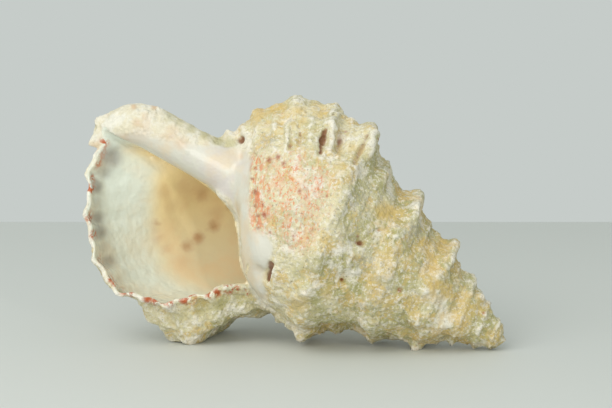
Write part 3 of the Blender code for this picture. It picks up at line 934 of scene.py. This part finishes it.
def pitted(surface, shellMap, glaze):
    # small holes left by wear and by borers, spread evenly at random
    chance = np.random.default_rng(12)
    bare = np.nonzero((shellMap.inside < 0.2) & (glaze < 0.3))[0]
    chosen = chance.choice(bare, crust["pitCount"], replace=False)
    radii = chance.uniform(*crust["pitRadius"], crust["pitCount"])
    depths = chance.uniform(*crust["pitDepth"], crust["pitCount"])
    tree = KDTree(surface.count)
    for index, place in enumerate(surface.places):
        tree.insert(place, index)
    tree.balance()
    depth = np.zeros(surface.count)
    for pit, radius, deep in zip(chosen, radii, depths):
        for _, index, gap in tree.find_range(surface.places[pit], 1.8 * radius):
            depth[index] = min(depth[index], -deep * math.exp(-((gap / radius) ** 2)))
    surface.push(depth * (1.0 - glaze) * (1.0 - shellMap.inside))
    return depth


# how wide each outline's edge fades, in pixels, and the share at the outline itself
fades = {"glaze": (4.0, 0.5), "canal": (5.0, 0.5), "redZone": (26.0, 0.45), "bowl": (24.0, 0.5)}
# Limits of the masks, in mm and degrees of the coil
maskForm = {
    "nearDepth": 8.0,  # how far back the near side, its crust and its rim reach
    "crustDepth": 20.0,
    "rimDepth": 12.0,
    "paleFromApex": 164.0,
    "paleLength": 12.0,
    "paleLossOnLips": 0.85,
    "glazeThickness": 0.35,
    "glazeSmoothing": 14,
    "deepPit": 1.9,
    "highCrest": 0.8,
    "rampLength": 5.0,
    "bodyAngle": -190.0,
    "mouthAngle": -110.0,
    "bowlAngle": -60.0,
    "spireAngle": -300.0,
    "spireLength": 120.0,
    "besideAt": 257,  # the red strokes beside the mouth, in pixels
    "besideWidth": 9,
    "besideTop": (150, 8),
    "besideFoot": (250, 16),
}


def outlined(sight, name):
    # 1 within an outline of the photograph, fading across its edge
    length, atEdge = fades[name]
    return smooth(insideOutline(sight.x, sight.y, photoMarks[name]) / length + atEdge)


def glazeAndPale(surface, sight, shellMap):
    nearSide = (surface.places[:, 1] < maskForm["nearDepth"]) & (shellMap.inside < 0.9)
    glaze = outlined(sight, "glaze") * smooth(sight.facing * 4.0 + 0.6) * nearSide
    glaze = surface.averaged(glaze, 2)
    canal = outlined(sight, "canal") * nearSide
    oldLips = np.array([oldLipShare(angle) for angle in shellMap.angle])
    behind = smooth((shellMap.fromApex - maskForm["paleFromApex"]) / maskForm["paleLength"])
    behind = behind * (1.0 - maskForm["paleLossOnLips"] * oldLips)
    pale = np.clip(np.maximum.reduce([canal, behind, shellMap.onColumn]), 0.0, 1.0)
    return nearSide, glaze, surface.averaged(pale * (1.0 - shellMap.inside), 3)


def shapeSkin(surface, sight, shellMap, glaze, pale):
    # all the fine forms, with the depth of pits and seams at each point
    unseen = 1.0 - smooth(sight.facing * 3.0)
    calm = surface.averaged(surface.places, maskForm["glazeSmoothing"])
    surface.places += (calm - surface.places) * glaze[:, None]
    surface.store()
    surface.push(maskForm["glazeThickness"] * glaze)
    surface.store()
    placeKnobs(surface, sight, photoMarks["knobs"])
    shiftForms(surface, sight, photoMarks["shifts"])
    surface.store()
    roughen(surface, shellMap, glaze, pale, unseen)
    surface.store()
    depth = placeKnobs(surface, sight, photoMarks["pits"])
    depth += placeSeams(surface, sight, photoMarks["seams"])
    surface.store()
    depth += pitted(surface, shellMap, glaze)
    surface.places[:, 2] = np.maximum(surface.places[:, 2], 0.0)
    surface.store()
    return depth


sight = Sight(surface)
nearSide, glaze, pale = glazeAndPale(surface, sight, shellMap)
report("glaze and canal outlined")
pitDepth = shapeSkin(surface, sight, shellMap, glaze, pale)
report("knobs, pits, seams and crust pushed in and out")


def thinOut(shape):
    triangles = 2 * len(shape.data.polygons)
    thin = shape.modifiers.new("fewer faces", "DECIMATE")
    thin.ratio = min(1.0, solidForm["triangles"] / triangles)
    applied(shape)
    # nothing may end up below the table
    places = pointsOf(shape.data)
    places[:, 2] = np.maximum(places[:, 2], 0.0)
    setPoints(shape.data, places)
    report(f"{len(shape.data.polygons)} faces kept")


# Masks for the colours, one number for each point
def storeMask(mesh, name, values):
    held = mesh.attributes.new(name, "FLOAT", "POINT")
    held.data.foreach_set("value", values.astype(np.float32))


def bodyMasks():
    # stains and spots of the near side, where the photograph shows them
    nearBody = nearSide * smooth(sight.facing * 3.0) * (1.0 - shellMap.inside)
    nearBody = nearBody * (shellMap.angle < maskForm["bodyAngle"])
    nearCrust = (sight.facing > 0.0) & (shellMap.inside < 0.1)
    nearCrust &= surface.places[:, 1] < maskForm["crustDepth"]
    kinds = ("ochreStains", "greyStains", "greenStainsAndShade", "tanStains")
    made = {kind: spotted(surface, sight, photoMarks[kind], nearCrust) for kind in kinds}
    (top, fadeIn), (foot, fadeOut) = maskForm["besideTop"], maskForm["besideFoot"]
    beside = np.exp(-(((sight.x - maskForm["besideAt"]) / maskForm["besideWidth"]) ** 2))
    beside = beside * smooth((sight.y - top) / fadeIn) * smooth((foot - sight.y) / fadeOut)
    made["beside"] = np.clip(beside * nearBody, 0.0, 1.0)
    made["redZone"] = outlined(sight, "redZone") * nearBody
    bare = (nearBody > 0.1) & (glaze < 0.5)
    made["redSpots"] = spotted(surface, sight, photoMarks["redSpots"], bare)
    return made


def mouthMasks():
    # the bowl by its outline where the photograph shows it, by the coil elsewhere
    seen = (shellMap.inside > 0.3) & (sight.facing > 0.0) & (shellMap.angle > maskForm["mouthAngle"])
    bowl = np.where(shellMap.angle > maskForm["bowlAngle"], outlined(sight, "bowl"), 1.0)
    bowl = surface.averaged(bowl * (shellMap.inside > 0.05), 4)
    near = surface.places[:, 1] < maskForm["rimDepth"]
    onRim = (shellMap.angle > -2.0) & near
    lipSpots = spotted(surface, sight, photoMarks["lipSpots"], onRim)
    lipSpots = lipSpots * smooth((shellMap.angle - 2.0) / 6.0)
    # one spot to each cord, on the far part of the rim
    backSpots = smooth((np.cos(2 * math.pi * shellMap.run / cordForm["pitch"]) - 0.55) / 0.3)
    backSpots = backSpots * smooth((shellMap.angle - 6.0) / 5.0) * ~near
    return {
        "bowl": bowl,
        "bowlSpots": spotted(surface, sight, photoMarks["bowlSpots"], seen),
        "lipSpots": np.maximum(lipSpots, backSpots),
        "lipShade": spotted(surface, sight, photoMarks["lipShade"], shellMap.inside > 0.3),
    }


def formMasks():
    # what follows from the forms themselves
    ridge = surface.averaged(surface.places, 16) - surface.places
    ridge = -(ridge * surface.outward).sum(axis=1)
    ramp = smooth((coil["shoulder"] - shellMap.fromApex) / maskForm["rampLength"])
    spire = smooth((maskForm["spireAngle"] - shellMap.angle) / maskForm["spireLength"])
    return {
        "inside": shellMap.inside,
        "glaze": glaze,
        "pale": pale,
        "pits": np.clip(-pitDepth / maskForm["deepPit"], 0.0, 1.0),
        "crest": np.clip(ridge / maskForm["highCrest"], -1.0, 1.0),
        "ramp": ramp * (1.0 - shellMap.onColumn),
        "spire": spire * (1.0 - shellMap.onColumn),
    }


masks = {**formMasks(), **bodyMasks(), **mouthMasks()}
for name, values in masks.items():
    storeMask(shape.data, name, values)
thinOut(shape)
shape.data.shade_smooth()
report("masks stored")


# Materials
def linear(red, green, blue):
    # a colour given as on screen, 0 to 255, as the shader takes it
    parts = [value / 255.0 for value in (red, green, blue)]
    return tuple(p / 12.92 if p <= 0.04045 else ((p + 0.055) / 1.055) ** 2.4 for p in parts) + (1.0,)


def addNode(tree, kind, inputs=None, **settings):
    made = tree.nodes.new(kind)
    for name, value in settings.items():
        setattr(made, name, value)
    for name, value in (inputs or {}).items():
        plug(tree, made.inputs[name], value)
    return made


def plug(tree, socket, value):
    if isinstance(value, bpy.types.NodeSocket):
        tree.links.new(value, socket)
    else:
        socket.default_value = value


def mathNode(tree, operation, *values):
    made = tree.nodes.new("ShaderNodeMath")
    made.operation = operation
    for socket, value in zip(made.inputs, values):
        plug(tree, socket, value)
    return made.outputs[0]


def mixColours(tree, share, under, over, blend="MIX"):
    made = tree.nodes.new("ShaderNodeMix")
    made.data_type = "RGBA"
    made.blend_type = blend
    for index, value in ((0, share), (6, under), (7, over)):
        plug(tree, made.inputs[index], value)
    return made.outputs[2]


def ramped(tree, value, low, high):
    # 0 below low, 1 above high
    made = addNode(tree, "ShaderNodeMapRange", interpolation_type="SMOOTHSTEP")
    plug(tree, made.inputs["Value"], value)
    plug(tree, made.inputs["From Min"], low)
    plug(tree, made.inputs["From Max"], high)
    return made.outputs["Result"]


def maskNode(tree, name):
    found = addNode(tree, "ShaderNodeAttribute", attribute_name=name, attribute_type="GEOMETRY")
    return found.outputs["Fac"]


def laid(tree, share, strength, under, over):
    return mixColours(tree, mathNode(tree, "MULTIPLY", share, strength), under, over)


def newGroup(name, inputs, outputs):
    group = bpy.data.node_groups.new(name, "ShaderNodeTree")
    for label, kind, value in inputs:
        socket = group.interface.new_socket(label, in_out="INPUT", socket_type=kind)
        if value is not None:
            socket.default_value = value
    for label, kind in outputs:
        group.interface.new_socket(label, in_out="OUTPUT", socket_type=kind)
    return group, addNode(group, "NodeGroupInput").outputs, addNode(group, "NodeGroupOutput").inputs


def useGroup(tree, group, **inputs):
    made = addNode(tree, "ShaderNodeGroup", node_tree=group)
    for name, value in inputs.items():
        plug(tree, made.inputs[name], value)
    return made.outputs


def patchesGroup():
    # soft-edged patches of one size
    group, given, result = newGroup(
        "patches",
        [
            ("Place", "NodeSocketVector", None),
            ("Size", "NodeSocketFloat", 0.01),
            ("Roughness", "NodeSocketFloat", 0.6),
            ("Low", "NodeSocketFloat", 0.45),
            ("High", "NodeSocketFloat", 0.6),
        ],
        [("Mask", "NodeSocketFloat")],
    )
    scale = mathNode(group, "DIVIDE", 1.0, given["Size"])
    grain = addNode(
        group,
        "ShaderNodeTexNoise",
        {"Vector": given["Place"], "Scale": scale, "Detail": 4.0, "Roughness": given["Roughness"]},
    )
    group.links.new(ramped(group, grain.outputs["Fac"], given["Low"], given["High"]), result["Mask"])
    return group


def specksGroup():
    # round specks of one size, of which only a share is kept
    group, given, result = newGroup(
        "specks",
        [
            ("Place", "NodeSocketVector", None),
            ("Size", "NodeSocketFloat", 0.002),
            ("Radius", "NodeSocketFloat", 0.35),
            ("Share", "NodeSocketFloat", 0.3),
        ],
        [("Mask", "NodeSocketFloat")],
    )
    scale = mathNode(group, "DIVIDE", 1.0, given["Size"])
    cells = addNode(group, "ShaderNodeTexVoronoi", {"Vector": given["Place"], "Scale": scale})
    shape = mathNode(group, "SUBTRACT", 1.0, ramped(group, cells.outputs["Distance"], 0.0, given["Radius"]))
    pick = addNode(group, "ShaderNodeSeparateColor", {"Color": cells.outputs["Color"]}).outputs["Red"]
    kept = mathNode(group, "LESS_THAN", pick, given["Share"])
    group.links.new(mathNode(group, "MULTIPLY", shape, kept), result["Mask"])
    return group


patches = patchesGroup()
specks = specksGroup()
crustColours = {
    "cream": linear(222, 213, 176),
    "bone": linear(241, 236, 224),
    "ochre": linear(214, 184, 112),
    "green": linear(168, 164, 106),
    "gap": linear(166, 142, 104),
    "grey": linear(172, 168, 156),
    "soot": linear(104, 100, 84),
    "brown": linear(128, 74, 44),
    "salmon": linear(228, 184, 154),
    "red": linear(222, 136, 94),
    "darkRed": linear(160, 66, 40),
}
paleColours = {
    "cream": linear(228, 220, 196),
    "white": linear(236, 232, 218),
    "tan": linear(206, 164, 120),
    # green stain colour, also the partly painted shade of the lip's outer face
    "green": linear(182, 174, 118),
}
mouthColours = {
    "lip": linear(222, 228, 214),
    "cream": linear(234, 220, 190),
    "bowl": linear(226, 216, 182),
    # lighter upper colour of the bowl: painted light where the column shades it
    "high": linear(255, 232, 176),
    "warm": linear(236, 198, 148),
    "spot": linear(176, 106, 62),
    # painted shade of the hollows just inside the rim
    "shade": linear(112, 100, 96),
    "rim": linear(184, 92, 46),
}
glazeColours = {
    "white": linear(212, 209, 196),
    "cream": linear(218, 203, 178),
    "violet": linear(208, 199, 196),
}
# how the pattern's place is drawn out along x, y and z
drawnOut = {"flecked": (1.0, 0.7, 0.62), "streaked": (1.0, 0.5, 0.34)}
# the crust's colours from the lowest layer up: (colour, strength, mask, pattern)
# patches are (place, size in m, low, high, roughness), specks (place, size in m, radius, share)
crustLayers = [
    ("green", 0.45, None, ("plain", 0.012, 0.42, 0.62, 0.6)),
    ("green", 0.85, "stained", ("plain", 0.016, 0.36, 0.58, 0.6)),
    ("ochre", 0.7, None, ("plain", 0.0085, 0.50, 0.62, 0.7)),
    ("bone", 0.7, None, ("moved", 0.011, 0.52, 0.62, 0.7)),
    ("ochre", 0.6, "spire", ("plain", 0.010, 0.44, 0.6, 0.6)),
    ("ochre", 0.35, "hollows", None),
    ("bone", 0.75, "crests", None),
    ("bone", 0.7, None, ("plain", 0.0015, 0.5, 0.62, 0.8)),
    ("grey", 0.6, None, ("plain", 0.0011, 0.54, 0.66, 0.8)),
    ("gap", 0.55, None, ("moved", 0.0013, 0.56, 0.66, 0.8)),
    ("ochre", 0.5, None, ("plain", 0.0024, 0.60, 0.70, 0.8)),
    ("bone", 0.5, None, ("plain", 0.0014, 0.42, 0.16)),
    ("soot", 0.6, None, ("moved", 0.0015, 0.38, 0.12)),
    ("darkRed", 0.6, None, ("plain", 0.0042, 0.26, 0.07)),
    ("ochre", 0.85, "ochreStains", ("plain", 0.005, 0.34, 0.54, 0.6)),
    ("grey", 0.65, "greyStains", ("plain", 0.0018, 0.46, 0.58, 0.8)),
    ("salmon", 0.45, "brokenRed", ("flecked", 0.0046, 0.44, 0.60, 0.75)),
    ("red", 0.8, "brokenRed", ("flecked", 0.0012, 0.52, 0.59, 0.8)),
    ("red", 0.85, "beside", ("streaked", 0.0016, 0.48, 0.55, 0.7)),
    ("darkRed", 0.75, "redSpots", ("plain", 0.0014, 0.34, 0.5, 0.6)),
]


def patch(tree, place, size, low, high, roughness=0.6):
    return useGroup(tree, patches, Place=place, Size=size, Low=low, High=high, Roughness=roughness)[0]


def speck(tree, place, size, radius, share):
    return useGroup(tree, specks, Place=place, Size=size, Radius=radius, Share=share)[0]


def outsideColour(tree, place):
    # the chalky crust: cream, stained ochre and green, speckled grey, red flecks beside the mouth
    moved = addNode(tree, "ShaderNodeMapping", {"Vector": place, "Location": (0.3, 0.1, 0.2)})
    places = {"plain": place, "moved": moved.outputs[0]}
    for name, scale in drawnOut.items():
        drawn = addNode(tree, "ShaderNodeMapping", {"Vector": place, "Scale": scale})
        places[name] = drawn.outputs[0]

    single = ("spire", "ochreStains", "greyStains", "beside", "redSpots")
    shares = {name: maskNode(tree, name) for name in single}
    crest = maskNode(tree, "crest")
    shares["hollows"] = ramped(tree, mathNode(tree, "MULTIPLY", crest, -1.0), 0.0, 0.9)
    shares["crests"] = ramped(tree, crest, 0.15, 0.8)
    shares["stained"] = mathNode(tree, "MAXIMUM", maskNode(tree, "ramp"), shares["spire"])
    broken = ramped(tree, patch(tree, place, 0.016, 0.36, 0.6), -0.15, 0.85)
    shares["brokenRed"] = mathNode(tree, "MULTIPLY", maskNode(tree, "redZone"), broken)

    colour = crustColours["cream"]
    for name, strength, mask, pattern in crustLayers:
        share = shares.get(mask)
        if pattern:
            where, *sizes = pattern
            made = (patch if len(sizes) == 4 else speck)(tree, places[where], *sizes)
            share = mathNode(tree, "MULTIPLY", made, share) if mask else made
        colour = laid(tree, share, strength, colour, crustColours[name])

    cloud, blot = patch(tree, place, 0.006, 0.4, 0.6), patch(tree, place, 0.009, 0.55, 0.7)
    chalk = mixColours(tree, cloud, paleColours["cream"], paleColours["white"])
    chalk = laid(tree, blot, 0.25, chalk, paleColours["tan"])
    colour = laid(tree, maskNode(tree, "pale"), 0.88, colour, chalk)
    # green stains, and on the lip's outer face a darker green-tan that is partly painted shade
    colour = laid(tree, maskNode(tree, "greenStainsAndShade"), 0.75, colour, paleColours["green"])
    holes = ramped(tree, maskNode(tree, "pits"), 0.45, 0.95)
    return laid(tree, holes, 0.85, colour, crustColours["brown"])


def mouthColour(tree, place):
    # greenish white enamel along the lip, a tan bowl with blurred brown spots deep inside, painted lighter
    # towards its top as painted light where the column shades it
    cloud = patch(tree, place, 0.03, 0.4, 0.65)
    warm = patch(tree, place, 0.022, 0.42, 0.66)
    pale = laid(tree, cloud, 0.6, mouthColours["lip"], mouthColours["cream"])
    # grey spots just inside the rim: painted shade of its hollows
    pale = laid(tree, maskNode(tree, "lipShade"), 0.75, pale, mouthColours["shade"])
    # the bowl painted lighter with height: painted light against the column's shadow
    high = addNode(tree, "ShaderNodeSeparateXYZ", {"Vector": place}).outputs["Z"]
    tan = mixColours(tree, ramped(tree, high, 0.020, 0.062), mouthColours["bowl"], mouthColours["high"])
    tan = laid(tree, warm, 0.45, tan, mouthColours["warm"])
    tan = laid(tree, maskNode(tree, "bowlSpots"), 0.75, tan, mouthColours["spot"])
    return mixColours(tree, maskNode(tree, "bowl"), pale, tan)


def glazeColour(tree, place):
    cloud = patch(tree, place, 0.014, 0.4, 0.65)
    blush = patch(tree, place, 0.02, 0.5, 0.7)
    colour = mixColours(tree, cloud, glazeColours["white"], glazeColours["cream"])
    return laid(tree, blush, 0.7, colour, glazeColours["violet"])


finish = {
    "crustRoughness": 0.82,
    "enamelRoughness": 0.2,
    "glazeShare": 0.75,  # of the mouth's polish
    "coat": 0.8,
    "coatRoughness": 0.03,
    "grainScale": 900.0,
    "crumbScale": 620.0,
    "crumbShare": 0.7,
    "leastGrain": 0.04,
    "rippleScale": 260.0,
    "rippleShare": 1.1,
    "bumpStrength": 0.9,
    "bumpDistance": 0.0007,
}


def surfaceNormal(tree, place, inside, smoothness):
    # fine grain and crumbs on the crust, soft ripples on the enamel of the lip
    def noiseAt(scale, detail, roughness=0.5):
        inputs = {"Vector": place, "Scale": scale, "Detail": detail, "Roughness": roughness}
        return addNode(tree, "ShaderNodeTexNoise", inputs).outputs["Fac"]

    crumbs = addNode(tree, "ShaderNodeTexVoronoi", {"Vector": place, "Scale": finish["crumbScale"]})
    crumbs = mathNode(tree, "MULTIPLY", crumbs.outputs["Distance"], finish["crumbShare"])
    height = mathNode(tree, "ADD", noiseAt(finish["grainScale"], 6.0, 0.7), crumbs)
    bare = mathNode(tree, "SUBTRACT", 1.0, smoothness)
    height = mathNode(tree, "MULTIPLY", height, mathNode(tree, "MAXIMUM", bare, finish["leastGrain"]))
    outsideBowl = mathNode(tree, "SUBTRACT", 1.0, maskNode(tree, "bowl"))
    lipOnly = mathNode(tree, "MULTIPLY", inside, outsideBowl)
    lipOnly = mathNode(tree, "MULTIPLY", lipOnly, finish["rippleShare"])
    ripples = mathNode(tree, "MULTIPLY", noiseAt(finish["rippleScale"], 1.5), lipOnly)
    height = mathNode(tree, "ADD", height, ripples)
    given = {"Strength": finish["bumpStrength"], "Distance": finish["bumpDistance"], "Height": height}
    return addNode(tree, "ShaderNodeBump", given).outputs["Normal"]


def shellMaterial():
    material = bpy.data.materials.new("worn shell")
    material.use_nodes = True
    tree = material.node_tree
    surface = tree.nodes["Principled BSDF"]
    place = addNode(tree, "ShaderNodeTexCoord").outputs["Object"]
    inside, glaze = maskNode(tree, "inside"), maskNode(tree, "glaze")

    colour = mixColours(tree, glaze, outsideColour(tree, place), glazeColour(tree, place))
    colour = mixColours(tree, inside, colour, mouthColour(tree, place))
    colour = laid(tree, maskNode(tree, "tanStains"), 0.6, colour, paleColours["tan"])
    grain = patch(tree, place, 0.0022, 0.42, 0.54)
    colour = laid(tree, maskNode(tree, "lipSpots"), grain, colour, mouthColours["rim"])
    plug(tree, surface.inputs["Base Color"], colour)

    glazed = mathNode(tree, "MULTIPLY", glaze, finish["glazeShare"])
    smoothness = mathNode(tree, "MAXIMUM", glazed, inside)
    ends = {"To Min": finish["crustRoughness"], "To Max": finish["enamelRoughness"]}
    rough = addNode(tree, "ShaderNodeMapRange", {"Value": smoothness, **ends})
    plug(tree, surface.inputs["Roughness"], rough.outputs[0])
    coat = mathNode(tree, "MULTIPLY", smoothness, finish["coat"])
    plug(tree, surface.inputs["Coat Weight"], coat)
    surface.inputs["Coat Roughness"].default_value = finish["coatRoughness"]
    plug(tree, surface.inputs["Normal"], surfaceNormal(tree, place, inside, smoothness))
    return material


shape.data.materials.clear()
shape.data.materials.append(shellMaterial())
report("materials made")

# Table, wall light and lamps
stageForm = {
    "width": 3.0,
    "front": -1.6,
    "back": 0.326,
    "table": linear(206, 209, 205),
    "tableRoughness": 0.6,
    "wall": linear(198, 204, 201),
    "lampAim": (0.0, 0.0, 0.05),
}
lamps = {
    # (place in m, size in m, power in W, colour)
    "window": ((-0.50, -0.55, 0.85), 0.8, 5.7, (1.0, 0.99, 0.97)),
    "front fill": ((-0.25, -1.05, 0.22), 0.6, 3.6, (1.0, 0.98, 0.95)),
    "glint": ((0.20, -0.55, 0.26), 0.022, 0.32, (1.0, 1.0, 1.0)),
}


def makeTable():
    half = stageForm["width"] / 2
    corners = [
        (-half, stageForm["front"], 0.0), (half, stageForm["front"], 0.0),
        (half, stageForm["back"], 0.0), (-half, stageForm["back"], 0.0),
    ]
    mesh = bpy.data.meshes.new("table")
    mesh.from_pydata(corners, [], [(0, 1, 2, 3)])
    table = bpy.data.objects.new("table", mesh)
    bpy.context.scene.collection.objects.link(table)
    material = bpy.data.materials.new("pale table")
    material.use_nodes = True
    surface = material.node_tree.nodes["Principled BSDF"]
    surface.inputs["Base Color"].default_value = stageForm["table"]
    surface.inputs["Roughness"].default_value = stageForm["tableRoughness"]
    mesh.materials.append(material)
    return table


def makeLamp(name, place, size, power, colour):
    data = bpy.data.lights.new(name, "AREA")
    data.energy = power
    data.size = size
    data.color = colour
    lamp = bpy.data.objects.new(name, data)
    lamp.location = place
    sight = Vector(stageForm["lampAim"]) - lamp.location
    lamp.rotation_euler = sight.to_track_quat("-Z", "Y").to_euler()
    bpy.context.scene.collection.objects.link(lamp)


def makeWorld():
    world = bpy.data.worlds.new("pale wall")
    bpy.context.scene.world = world
    world.use_nodes = True
    background = world.node_tree.nodes["Background"]
    background.inputs["Color"].default_value = stageForm["wall"]
    background.inputs["Strength"].default_value = 1.0


table = makeTable()
makeWorld()
for name, given in lamps.items():
    makeLamp(name, *given)
bpy.context.scene.view_settings.view_transform = "Standard"
report("table and light set")

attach(shape, "root")
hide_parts("shell")
